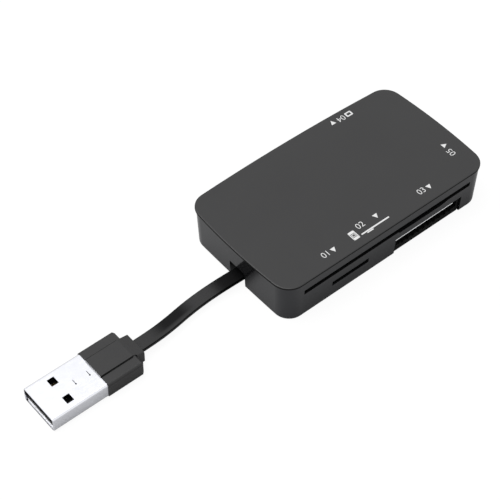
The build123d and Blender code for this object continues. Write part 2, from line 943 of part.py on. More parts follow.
with BuildPart() as plug_contacts:
    with BuildSketch(Plane.XY.offset(tongue_top + strip_proud)):
        for across, recess in strips:
            with Locations((plug_mouth_x + recess, plug_y + across)):
                Rectangle(tongue_reach - recess, strip_width, align=(Align.MIN, Align.CENTER))
    extrude(amount=-strip_thickness)
keep(plug_contacts.part, "plug_contacts")

# Moulded grip of the plug: slim body, raised middle panels between grooves, tapered neck
panel_level = grip_height / 2 + panel_rise
with BuildPart() as plug_overmold:
    with BuildSketch(Plane.YZ.offset(plug_seam_x)):
        with Locations((plug_y, plug_z)):
            RectangleRounded(grip_width, grip_height, grip_corner)
    extrude(amount=grip_length)
    chamfer(plug_overmold.faces().sort_by(Axis.X)[-1].edges(), grip_end_chamfer)
    with BuildSketch(Plane.XY.offset(plug_z - grip_height / 2)):
        with Locations((plug_seam_x, plug_y)):
            with GridLocations(0, panel_width + panel_groove_width, 1, 2):
                Rectangle(
                    grip_length - panel_ramp,
                    panel_groove_width,
                    align=(Align.MIN, Align.CENTER),
                )
    extrude(amount=panel_groove_depth, mode=Mode.SUBTRACT)
    with BuildSketch(Plane.XY.offset(plug_z + grip_height / 2)):
        with Locations((plug_seam_x, plug_y)):
            with GridLocations(0, panel_width + panel_groove_width, 1, 2):
                Rectangle(
                    grip_length - panel_ramp,
                    panel_groove_width,
                    align=(Align.MIN, Align.CENTER),
                )
    extrude(amount=-panel_groove_depth, mode=Mode.SUBTRACT)
    with BuildSketch(Plane((0, plug_y, plug_z), x_dir=(1, 0, 0), z_dir=(0, -1, 0))):
        with BuildLine():
            Polyline(
                (plug_seam_x, panel_level),
                (grip_end - panel_ramp, panel_level),
                (grip_end, grip_height / 2),
                (grip_end, -grip_height / 2),
                (grip_end - panel_ramp, -panel_level),
                (plug_seam_x, -panel_level),
                close=True,
            )
        make_face()
    extrude(amount=panel_width / 2, both=True)
    with BuildSketch(Plane.YZ.offset(grip_end)):
        with Locations((plug_y, plug_z)):
            RectangleRounded(neck_width, neck_root_height, neck_corner)
    with BuildSketch(Plane.YZ.offset(grip_end + neck_length)):
        with Locations((plug_y, plug_z)):
            RectangleRounded(neck_width, neck_height, neck_corner)
    loft(ruled=True)
    with BuildSketch(Plane.YZ.offset(plug_seam_x)):
        with Locations((plug_y, plug_z)):
            RectangleRounded(shell_width, shell_height, shell_corner)
    extrude(amount=shell_buried, mode=Mode.SUBTRACT)
keep(plug_overmold.part, "plug_overmold")
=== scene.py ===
import json
import logging
import math
from dataclasses import dataclass
from enum import Enum
from typing import Any, Callable

import bpy
from mathutils import Matrix, Vector
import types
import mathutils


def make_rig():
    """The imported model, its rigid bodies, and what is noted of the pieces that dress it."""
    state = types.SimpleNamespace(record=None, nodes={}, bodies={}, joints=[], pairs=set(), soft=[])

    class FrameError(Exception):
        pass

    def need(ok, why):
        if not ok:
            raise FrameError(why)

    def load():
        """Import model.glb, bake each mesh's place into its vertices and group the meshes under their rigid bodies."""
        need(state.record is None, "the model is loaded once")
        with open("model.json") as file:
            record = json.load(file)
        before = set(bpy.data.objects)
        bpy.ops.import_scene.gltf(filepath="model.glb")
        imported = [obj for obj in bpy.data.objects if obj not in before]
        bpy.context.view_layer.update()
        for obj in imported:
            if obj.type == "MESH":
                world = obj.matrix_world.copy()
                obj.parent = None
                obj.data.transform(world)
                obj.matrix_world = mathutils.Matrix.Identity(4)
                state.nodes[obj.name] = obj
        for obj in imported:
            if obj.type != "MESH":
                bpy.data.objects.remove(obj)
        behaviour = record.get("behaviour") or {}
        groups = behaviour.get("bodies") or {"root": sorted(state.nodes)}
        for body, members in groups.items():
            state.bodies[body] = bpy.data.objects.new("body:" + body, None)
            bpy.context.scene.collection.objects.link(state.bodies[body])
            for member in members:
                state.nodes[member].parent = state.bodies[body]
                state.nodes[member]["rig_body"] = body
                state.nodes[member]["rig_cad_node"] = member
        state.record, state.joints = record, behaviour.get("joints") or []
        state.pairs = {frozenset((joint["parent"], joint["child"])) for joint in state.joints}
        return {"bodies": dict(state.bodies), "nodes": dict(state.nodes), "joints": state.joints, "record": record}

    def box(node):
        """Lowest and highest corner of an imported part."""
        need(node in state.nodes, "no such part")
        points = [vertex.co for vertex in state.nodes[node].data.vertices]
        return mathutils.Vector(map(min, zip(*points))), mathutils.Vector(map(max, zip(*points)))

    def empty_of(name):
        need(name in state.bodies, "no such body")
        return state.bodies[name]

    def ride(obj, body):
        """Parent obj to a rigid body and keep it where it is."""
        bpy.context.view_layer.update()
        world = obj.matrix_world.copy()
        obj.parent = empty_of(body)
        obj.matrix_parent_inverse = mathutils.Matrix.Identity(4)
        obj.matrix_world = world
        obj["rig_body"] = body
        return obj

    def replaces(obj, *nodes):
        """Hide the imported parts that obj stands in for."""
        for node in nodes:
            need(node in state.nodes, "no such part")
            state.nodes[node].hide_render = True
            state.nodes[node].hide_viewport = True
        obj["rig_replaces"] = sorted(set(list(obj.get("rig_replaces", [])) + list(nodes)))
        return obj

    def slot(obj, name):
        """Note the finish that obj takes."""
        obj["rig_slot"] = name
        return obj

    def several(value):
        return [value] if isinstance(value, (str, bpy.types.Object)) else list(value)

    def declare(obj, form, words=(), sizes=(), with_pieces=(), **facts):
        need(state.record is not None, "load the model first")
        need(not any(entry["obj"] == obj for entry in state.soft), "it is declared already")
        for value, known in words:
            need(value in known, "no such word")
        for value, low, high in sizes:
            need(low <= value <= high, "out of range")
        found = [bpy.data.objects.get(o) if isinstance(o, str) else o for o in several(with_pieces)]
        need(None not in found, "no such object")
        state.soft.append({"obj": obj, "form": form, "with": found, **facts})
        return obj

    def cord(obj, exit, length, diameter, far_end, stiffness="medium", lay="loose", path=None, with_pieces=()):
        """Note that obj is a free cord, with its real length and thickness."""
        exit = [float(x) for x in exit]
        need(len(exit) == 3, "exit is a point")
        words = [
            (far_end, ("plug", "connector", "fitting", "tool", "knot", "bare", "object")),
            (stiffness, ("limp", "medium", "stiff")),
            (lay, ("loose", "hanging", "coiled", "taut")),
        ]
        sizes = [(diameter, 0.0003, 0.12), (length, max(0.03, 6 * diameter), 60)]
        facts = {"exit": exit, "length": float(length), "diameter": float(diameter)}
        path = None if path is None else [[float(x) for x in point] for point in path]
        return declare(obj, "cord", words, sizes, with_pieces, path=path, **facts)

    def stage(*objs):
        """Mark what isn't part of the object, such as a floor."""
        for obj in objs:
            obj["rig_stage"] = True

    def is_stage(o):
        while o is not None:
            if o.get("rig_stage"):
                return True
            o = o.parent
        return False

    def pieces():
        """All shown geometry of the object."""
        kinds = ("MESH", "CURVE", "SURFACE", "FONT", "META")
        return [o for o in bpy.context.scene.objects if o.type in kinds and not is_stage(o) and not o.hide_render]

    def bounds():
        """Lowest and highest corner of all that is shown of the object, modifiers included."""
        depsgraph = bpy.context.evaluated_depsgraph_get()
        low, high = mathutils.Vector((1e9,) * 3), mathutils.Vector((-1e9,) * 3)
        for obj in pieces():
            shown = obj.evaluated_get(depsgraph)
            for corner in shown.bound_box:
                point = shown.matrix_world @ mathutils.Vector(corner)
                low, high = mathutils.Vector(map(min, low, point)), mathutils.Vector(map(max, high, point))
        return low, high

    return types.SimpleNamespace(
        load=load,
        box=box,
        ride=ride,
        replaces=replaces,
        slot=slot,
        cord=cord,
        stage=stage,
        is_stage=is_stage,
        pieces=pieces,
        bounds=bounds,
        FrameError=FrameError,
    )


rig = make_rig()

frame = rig.load()

LOG = logging.getLogger("card_reader")
MM = 0.001
SIZE_FILE = "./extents.json"
BODY = "root"
SMOOTH_ANGLE = math.radians(40)

Triple = tuple[float, float, float]
Pair = tuple[float, float]


class Value:
    """A shader socket that takes part in Python expressions."""

    def __init__(self, graph: "Graph", socket: bpy.types.NodeSocket) -> None:
        """Keep the socket and the graph that it belongs to."""
        self.graph = graph
        self.socket = socket

    def _math(self, operation: str, first: Any, second: Any) -> "Value":
        """Add a Math node and return its result."""
        node = self.graph.node("ShaderNodeMath", {"operation": operation}, {0: first, 1: second})
        return node["Value"]

    def __add__(self, other: Any) -> "Value":
        """Sum."""
        return self._math("ADD", self, other)

    def __radd__(self, other: Any) -> "Value":
        """Sum with a number on the left."""
        return self._math("ADD", other, self)

    def __sub__(self, other: Any) -> "Value":
        """Difference."""
        return self._math("SUBTRACT", self, other)

    def __rsub__(self, other: Any) -> "Value":
        """Difference with a number on the left."""
        return self._math("SUBTRACT", other, self)

    def __mul__(self, other: Any) -> "Value":
        """Product."""
        return self._math("MULTIPLY", self, other)

    def __rmul__(self, other: Any) -> "Value":
        """Product with a number on the left."""
        return self._math("MULTIPLY", other, self)

    def __gt__(self, other: Any) -> "Value":
        """One where this is greater, else zero."""
        return self._math("GREATER_THAN", self, other)


class NodeOutputs:
    """The outputs of a new node, read by name or number as values."""

    def __init__(self, graph: "Graph", node: bpy.types.Node) -> None:
        """Keep the node and its graph."""
        self.graph = graph
        self.node = node

    def __getitem__(self, name: str | int) -> Value:
        """Return one output as a value."""
        return Value(self.graph, self.node.outputs[name])


class Graph:
    """The node tree of one material or of the world."""

    def __init__(self, tree: bpy.types.NodeTree) -> None:
        """Start an empty tree."""
        self.tree = tree
        self.tree.nodes.clear()

    def node(self, kind: str, settings: dict[str, Any], inputs: dict[Any, Any]) -> NodeOutputs:
        """Add a node.

        Args:
            kind: Type name of the node.
            settings: Properties that are set first.
            inputs: Numbers, colours or values by socket name or number.

        Returns:
            The outputs of the new node.
        """
        made = self.tree.nodes.new(kind)
        for name, setting in settings.items():
            setattr(made, name, setting)
        for name, given in inputs.items():
            if isinstance(given, Value):
                self.tree.links.new(given.socket, made.inputs[name])
            else:
                made.inputs[name].default_value = given
        return NodeOutputs(self, made)

    def place(self) -> Value:
        """Return the coordinates of the object."""
        return self.node("ShaderNodeTexCoord", {}, {})["Object"]

    def noise(self, place: Value, size: float, detail: float = 3.0) -> Value:
        """Return smooth noise.

        Args:
            place: Coordinates to read.
            size: Size of one feature, in metres.
            detail: Number of finer layers.

        Returns:
            Noise around one half.
        """
        inputs = {"Vector": place, "Scale": 1.0 / size, "Detail": detail}
        return self.node("ShaderNodeTexNoise", {}, inputs)["Fac"]

    def stretched(self, place: Value, scale: Triple) -> Value:
        """Return the coordinates stretched along the axes."""
        return self.node("ShaderNodeMapping", {}, {"Vector": place, "Scale": scale})["Vector"]

    def tint(self, factor: Value, low: Triple, high: Triple) -> Value:
        """Return a colour between two colours.

        Args:
            factor: Zero for the low colour, one for the high colour.
            low: Colour at zero.
            high: Colour at one.

        Returns:
            The mixed colour.
        """
        inputs = {0: factor, 6: (*low, 1.0), 7: (*high, 1.0)}
        return self.node("ShaderNodeMix", {"data_type": "RGBA"}, inputs)[2]

    def bump(self, height: Value) -> Value:
        """Return a normal bent by a height in millimetres."""
        return self.node("ShaderNodeBump", {}, {"Height": height, "Distance": MM})["Normal"]

    def ramp(self, value: Value, zero: float, one: float) -> Value:
        """Return a smooth step that is nought at one place of a value and one at another."""
        inputs = {"Value": value, "From Min": zero, "From Max": one}
        return self.node("ShaderNodeMapRange", {"interpolation_type": "SMOOTHSTEP"}, inputs)["Result"]

    def inside(self, low: Triple, high: Triple) -> Value:
        """Return one inside a box of the object's coordinates, else nought."""
        axes = self.node("ShaderNodeSeparateXYZ", {}, {"Vector": self.place()})
        share: Any = 1.0
        for axis, near, far in zip("XYZ", low, high):
            share = share * (axes[axis] > near) * (1 - (axes[axis] > far))
        return share

    def principled(self, inputs: dict[str, Any]) -> Value:
        """Return a surface with the given inputs."""
        return self.node("ShaderNodeBsdfPrincipled", {}, inputs)["BSDF"]

    def mixed(self, share: Value, first: Value, second: Value) -> Value:
        """Return the first surface where the share is zero, the second where it is one."""
        return self.node("ShaderNodeMixShader", {}, {0: share, 1: first, 2: second})["Shader"]


def shades(colour: Triple, spread: float) -> tuple[Triple, Triple]:
    """Return a darker and a lighter shade of a colour.

    Args:
        colour: The colour between the two shades.
        spread: Share by which the shades leave it.

    Returns:
        The dark and the light shade.
    """
    red, green, blue = colour
    low, high = 1.0 - spread, 1.0 + spread
    return (red * low, green * low, blue * low), (red * high, green * high, blue * high)


def new_material(name: str, shade: Callable[[Graph], Value]) -> bpy.types.Material:
    """Make a material.

    Args:
        name: Name of the material.
        shade: Function that takes the empty graph and returns the surface.

    Returns:
        The new material.
    """
    material = bpy.data.materials.new(name)
    material.use_nodes = True
    graph = Graph(material.node_tree)
    graph.node("ShaderNodeOutputMaterial", {}, {"Surface": shade(graph)})
    return material


@dataclass(frozen=True)
class MouldedPlastic:
    """Moulded plastic with a fine grain, a slight sink wave and uneven gloss."""

    name: str
    colour: Triple
    roughness: float
    ior: float
    spread: float = 0.1
    roughness_spread: float = 0.08
    grain: float = 0.15 * MM
    grain_depth: float = 0.002
    wave: float = 6.0 * MM
    wave_depth: float = 0.002
    sheen: Triple = (1.0, 1.0, 1.0)

    def material(self) -> bpy.types.Material:
        """Return the finish as a material."""
        return new_material(self.name, self.shade)

    def shade(self, graph: Graph) -> Value:
        """Return the surface."""
        place = graph.place()
        cloud = graph.noise(place, self.wave)
        speck = graph.noise(place, self.grain, detail=1.0)
        inputs = {
            "IOR": self.ior,
            "Specular Tint": (*self.sheen, 1.0),
            "Base Color": graph.tint(cloud, *shades(self.colour, self.spread)),
            "Roughness": self.roughness + self.roughness_spread * (cloud - 0.5),
            "Normal": graph.bump(speck * self.grain_depth + cloud * self.wave_depth),
        }
        return graph.principled(inputs)


@dataclass(frozen=True)
class RolledMetal:
    """Bright sheet metal with fine rolling lines and faint handling marks."""

    name: str
    colour: Triple
    roughness: float
    line: float
    line_stretch: Triple
    spread: float = 0.05
    roughness_spread: float = 0.1
    line_depth: float = 0.0006
    smudge: float = 2.5 * MM
    smudge_spread: float = 0.08

    def material(self) -> bpy.types.Material:
        """Return the finish as a material."""
        return new_material(self.name, self.shade)

    def shade(self, graph: Graph) -> Value:
        """Return the surface."""
        place = graph.place()
        drawn = graph.stretched(place, self.line_stretch)
        lines = graph.noise(drawn, self.line, detail=4.0)
        smudge = graph.noise(place, self.smudge)
        gloss = self.roughness_spread * (lines - 0.5) + self.smudge_spread * (smudge - 0.5)
        inputs = {
            "Metallic": 1.0,
            "Base Color": graph.tint(lines, *shades(self.colour, self.spread)),
            "Roughness": self.roughness + gloss,
            "Normal": graph.bump(lines * self.line_depth),
        }
        return graph.principled(inputs)


@dataclass(frozen=True)
class Patched:
    """A finish with another finish inside some boxes.

    Each box is given by its low and its high corner, in millimetres.
    """

    face: MouldedPlastic | RolledMetal
    patch: MouldedPlastic
    boxes: tuple[tuple[Triple, Triple], ...]

    def material(self) -> bpy.types.Material:
        """Return the finish as a material."""
        return new_material(self.face.name, self.shade)

    def shade(self, graph: Graph) -> Value:
        """Return the surface."""
        share: Any = 0.0
        for low, high in self.boxes:
            share = share + graph.inside(
                tuple(MM * place for place in low), tuple(MM * place for place in high)
            )
        return graph.mixed(share, self.face.shade(graph), self.patch.shade(graph))


@dataclass(frozen=True)
class PaintedShadeSpan:
    """A length of the jacket that is painted darker and less glossy as painted shade, with soft ends and a soft side.

    The first four places are along the cable, the last two across it.
    """

    start: float
    full_start: float
    full_end: float
    end: float
    full_side: float
    side: float

    def share(self, graph: Graph, along: Value, across: Value) -> Value:
        """Return how much painted shade each place takes."""
        first = graph.ramp(along, self.start, self.full_start)
        last = graph.ramp(along, self.full_end, self.end)
        return first * (1 - last) * (1 - graph.ramp(across, self.full_side, self.side))


@dataclass(frozen=True)
class CableJacket:
    """Soft extruded jacket with faint streaks along its length and spans of painted shade."""

    name: str
    colour: Triple
    roughness: float
    ior: float
    streak: float
    streak_depth: float
    # Darker, less glossy finish, and the spans where it stands for painted shade.
    painted_shade: MouldedPlastic
    painted_shade_spans: tuple[PaintedShadeSpan, ...]
    spread: float = 0.12
    roughness_spread: float = 0.12
    cloud: float = 3.6 * MM
    streak_stretch: Triple = (0.05, 1.0, 1.0)

    def material(self) -> bpy.types.Material:
        """Return the finish as a material."""
        return new_material(self.name, self.shade)

    def shade(self, graph: Graph) -> Value:
        """Return the surface."""
        map_place = graph.node("ShaderNodeUVMap", {"uv_map": FlatCable.UV_NAME}, {})["UV"]
        axes = graph.node("ShaderNodeSeparateXYZ", {}, {"Vector": map_place})
        drawn = graph.stretched(map_place, self.streak_stretch)
        streak = graph.noise(drawn, self.streak, detail=2.0)
        cloud = graph.noise(graph.place(), self.cloud)
        inputs = {
            "IOR": self.ior,
            "Base Color": graph.tint(cloud, *shades(self.colour, self.spread)),
            "Roughness": self.roughness + self.roughness_spread * (streak - 0.5),
            "Normal": graph.bump(streak * self.streak_depth),
        }
        # Mask of the spans of painted shade.
        share: Any = 0.0
        for span in self.painted_shade_spans:
            share = share + span.share(graph, axes["X"], axes["Y"])
        return graph.mixed(share, graph.principled(inputs), self.painted_shade.shade(graph))


@dataclass(frozen=True)
class CircuitBoard:
    """Lacquered board with tracks that show through the lacquer."""

    name: str
    lacquer: Triple
    track: Triple
    track_pitch: float
    roughness: float = 0.3
    roughness_spread: float = 0.15
    track_height: float = 0.03
    row_offset: float = 0.5
    gap_share: float = 0.1
    cloud_tracks: float = 3.0
    ior: float = 1.5

    def material(self) -> bpy.types.Material:
        """Return the finish as a material."""
        return new_material(self.name, self.shade)

    def shade(self, graph: Graph) -> Value:
        """Return the surface."""
        place = graph.place()
        bricks = graph.node(
            "ShaderNodeTexBrick",
            {"offset": self.row_offset},
            {"Vector": place, "Scale": 1.0 / self.track_pitch, "Mortar Size": self.gap_share},
        )["Fac"]
        cloud = graph.noise(place, self.cloud_tracks * self.track_pitch)
        inputs = {
            "IOR": self.ior,
            "Base Color": graph.tint(bricks, self.track, self.lacquer),
            "Roughness": self.roughness + self.roughness_spread * (cloud - 0.5),
            "Normal": graph.bump((1 - bricks) * self.track_height),
        }
        return graph.principled(inputs)


# Near-black, low-gloss plastic: the real colour of the insulators, and painted shade where other finishes are patched
# with it.
DARK_PLASTIC_AND_PAINTED_SHADE = MouldedPlastic("dark_plastic", (0.004, 0.004, 0.004), 0.55, 1.2)


class Finish(Enum):
    """The finishes of the reader."""

    COVER = Patched(
        MouldedPlastic(
            "cover_plastic",
            colour=(0.0165, 0.0165, 0.017),
            roughness=0.36,
            ior=1.45,
            spread=0.06,
            grain_depth=0.0012,
            wave=14 * MM,
            wave_depth=0.004,
        ),
        # Painted shade: the lid's edge and underside below 12.86 mm are near-black and low-gloss, standing for the
        # shade of the shadow gap under the lid.
        patch=DARK_PLASTIC_AND_PAINTED_SHADE,
        boxes=(((-50.0, -50.0, 0.0), (50.0, 50.0, 12.86)),),
    )
    CASE = MouldedPlastic(
        "case_plastic",
        colour=(0.008, 0.008, 0.0086),
        roughness=0.13,
        ior=1.5,
        roughness_spread=0.05,
        grain=0.2 * MM,
        grain_depth=0.0004,
        wave=9 * MM,
        wave_depth=0.005,
        sheen=(0.9, 0.92, 1.0),
    )
    INSULATOR = DARK_PLASTIC_AND_PAINTED_SHADE
    TONGUE = Patched(
        MouldedPlastic("tongue_plastic", (0.0045, 0.0045, 0.0045), 0.55, 1.2),
        # Painted highlight: only the tongue's front face is pale, so the lower half of the plug's mouth reads bright.
        patch=MouldedPlastic("tongue_end_painted_highlight", (0.8, 0.8, 0.81), 0.45, 1.45),
        boxes=(((-96.0, -10.0, 0.0), (-95.5, 5.0, 1.45)),),
    )
    GRIP = MouldedPlastic(
        "grip_plastic",
        colour=(0.021, 0.021, 0.0215),
        roughness=0.4,
        ior=1.36,
        grain_depth=0.003,
        wave_depth=0.004,
    )
    RESIN = MouldedPlastic("chip_resin", (0.016, 0.016, 0.017), 0.5, 1.5, grain_depth=0.003)
    CERAMIC = MouldedPlastic("ceramic", (0.36, 0.255, 0.165), 0.4, 1.6, wave=1.0 * MM)
    SLEEVE = MouldedPlastic("wire_sleeve", (0.33, 0.045, 0.035), 0.4, 1.45, wave=3.0 * MM)
    INK = MouldedPlastic("white_ink", (0.6, 0.6, 0.6), 0.5, 1.45, spread=0.05, wave=2.0 * MM)
    STEEL = Patched(
        RolledMetal("plug_steel", (0.835, 0.845, 0.89), 0.2, 0.12 * MM, (0.06, 1.0, 1.0)),
        patch=DARK_PLASTIC_AND_PAINTED_SHADE,
        boxes=(
            # Painted shade: the faces just under the shell's top face, seen through its holes and recesses, are
            # near-black.
            ((-95.6, -7.97, 4.62), (-80.3, 2.43, 4.92)),
            # The buried steel that shows in the grip's groove is near-black: the grip's own black, made darker as
            # painted shade in the groove.
            ((-80.28, -10.0, 0.0), (-70.0, 5.0, 6.0)),
        ),
    )
    SHEET = RolledMetal("plated_sheet", (0.77, 0.78, 0.79), 0.22, 0.1 * MM, (0.1, 1.0, 1.0))
    GILT = RolledMetal("gilt_spring", (0.87, 0.65, 0.3), 0.22, 0.08 * MM, (1.0, 0.2, 1.0))
    JACKET = CableJacket(
        "cable_jacket",
        colour=(0.0115, 0.0115, 0.012),
        roughness=0.36,
        ior=1.38,
        streak=0.12 * MM,
        streak_depth=0.004,
        painted_shade=MouldedPlastic("painted_shade_jacket", (0.003, 0.003, 0.0032), 0.45, 1.2),
        painted_shade_spans=(
            # Painted shadow of the case over the first few millimetres of the cable, across its whole width.
            PaintedShadeSpan(-3.0 * MM, -2.0 * MM, 7.0 * MM, 12.0 * MM, 3.0 * MM, 4.0 * MM),
            # Painted shade: a darker, less glossy stretch in the cable's middle, over all but its front edge.
            PaintedShadeSpan(17.0 * MM, 23.0 * MM, 28.0 * MM, 35.0 * MM, 0.4 * MM, 1.5 * MM),
        ),
    )
    BOARD = CircuitBoard("circuit_board", (0.012, 0.05, 0.02), (0.03, 0.11, 0.05), 1.1 * MM)


def dress(nodes: dict[str, bpy.types.Object], names: list[str], finish: bpy.types.Material) -> None:
    """Give solids their finish.

    Args:
        nodes: All solids by name.
        names: The solids to dress.
        finish: Their material.
    """
    for name in names:
        for slot in nodes[name].material_slots:
            slot.material = finish
        LOG.info("dressed %s", name)


def deselect_all() -> None:
    """Leave nothing selected, outside edit mode."""
    if bpy.context.object and bpy.context.object.mode != "OBJECT":
        bpy.ops.object.mode_set(mode="OBJECT")
    bpy.ops.object.select_all(action="DESELECT")


def point_outwards() -> None:
    """Turn all faces of the active mesh outwards."""
    bpy.ops.object.mode_set(mode="EDIT")
    bpy.ops.mesh.select_all(action="SELECT")
    bpy.ops.mesh.normals_make_consistent(inside=False)
    bpy.ops.object.mode_set(mode="OBJECT")


def settle(piece: bpy.types.Object, name: str) -> None:
    """Put a piece's place into its mesh and let it ride on the reader.

    Args:
        piece: The finished piece.
        name: Its name.
    """
    deselect_all()
    piece.name = name
    piece.data.name = name
    piece.select_set(True)
    bpy.context.view_layer.objects.active = piece
    bpy.ops.object.transform_apply(location=True, rotation=True, scale=True)
    point_outwards()
    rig.ride(piece, BODY)
    LOG.info("made %s", name)


@dataclass
class Studio:
    """Floor, light and camera.

    The camera's place is in millimetres and its turns are in degrees, the rest is in metres.
    """

    camera_place: Triple = (-184.7, -177.1, 284.5)
    azimuth: float = -41.24
    elevation: float = 49.59
    roll: float = 1.53
    focal_pixels: float = 1451.9
    frame_pixels: float = 500.0
    half_pixel: float = 0.5
    sensor: float = 36.0
    clip_start: float = 0.01
    floor_size: float = 6.0
    floor_colour: Triple = (0.43, 0.43, 0.43)
    floor_glow: float = 1.15
    floor_white: float = 0.8
    floor_mirrored: float = 0.03
    sky_light: float = 0.72
    lamp_size: float = 0.9
    lamp_power: float = 9.0
    lamp_place: Triple = (-0.3, 0.25, 0.95)

    def build(self) -> None:
        """Make the floor, the light and the camera."""
        self._floor()
        self._world()
        self._lamp()
        self._camera()
        bpy.context.scene.view_settings.view_transform = "Standard"

    def _floor(self) -> None:
        """Make a plain pale floor that keeps the shadow of the reader."""
        deselect_all()
        bpy.ops.mesh.primitive_plane_add(size=self.floor_size)
        floor = bpy.context.object
        floor.name = "floor"
        floor.data.materials.append(new_material("pale_floor", self._floor_shade))
        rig.stage(floor)

    def _floor_shade(self, graph: Graph) -> Value:
        """Return the surface of the floor, whiter to the camera than to the reader."""
        path = graph.node("ShaderNodeLightPath", {}, {})
        mirrored = path["Is Glossy Ray"] + path["Is Transmission Ray"]
        share = path["Is Camera Ray"] * self.floor_white + mirrored * self.floor_mirrored
        lit = graph.node("ShaderNodeBsdfDiffuse", {}, {"Color": (*self.floor_colour, 1.0)})
        white = graph.node("ShaderNodeEmission", {}, {"Strength": self.floor_glow})
        return graph.mixed(share, lit["BSDF"], white["Emission"])

    def _world(self) -> None:
        """Make a white surrounding that lights the reader softly."""
        world = bpy.data.worlds.new("studio")
        bpy.context.scene.world = world
        world.use_nodes = True
        graph = Graph(world.node_tree)
        path = graph.node("ShaderNodeLightPath", {}, {})
        total = path["Is Camera Ray"] + path["Is Glossy Ray"] + path["Is Transmission Ray"]
        strength = self.sky_light + (1 - self.sky_light) * (total > 0.5)
        sky = graph.node(
            "ShaderNodeBackground", {}, {"Color": (1.0, 1.0, 1.0, 1.0), "Strength": strength}
        )
        graph.node("ShaderNodeOutputWorld", {}, {"Surface": sky["Background"]})

    def _lamp(self) -> None:
        """Hang a large soft lamp above the reader."""
        data = bpy.data.lights.new("soft_lamp", "AREA")
        data.shape = "SQUARE"
        data.size = self.lamp_size
        data.energy = self.lamp_power
        lamp = bpy.data.objects.new("soft_lamp", data)
        bpy.context.scene.collection.objects.link(lamp)
        lamp.location = self.lamp_place
        lamp.rotation_euler = (-Vector(self.lamp_place)).to_track_quat("-Z", "Y").to_euler()

    def _camera(self) -> None:
        """Stand the camera where the photograph was taken."""
        azimuth = math.radians(self.azimuth)
        elevation = math.radians(self.elevation)
        roll = math.radians(self.roll)
        level = math.cos(elevation)
        right = Vector((math.cos(azimuth), math.sin(azimuth), 0.0))
        back = Vector(
            (math.sin(azimuth) * level, -math.cos(azimuth) * level, math.sin(elevation))
        )
        up = back.cross(right)
        turned_right = right * math.cos(roll) + up * math.sin(roll)
        turned_up = up * math.cos(roll) - right * math.sin(roll)
        data = bpy.data.cameras.new("photo_camera")
        data.sensor_width = self.sensor
        data.lens = self.sensor * self.focal_pixels / self.frame_pixels
        data.shift_x = -self.half_pixel / self.frame_pixels
        data.shift_y = self.half_pixel / self.frame_pixels
        data.clip_start = self.clip_start
        camera = bpy.data.objects.new("photo_camera", data)
        bpy.context.scene.collection.objects.link(camera)
        turn = Matrix((turned_right, turned_up, back)).transposed()
        camera.matrix_world = Matrix.Translation(Vector(self.camera_place) * MM) @ turn.to_4x4()
        bpy.context.scene.camera = camera


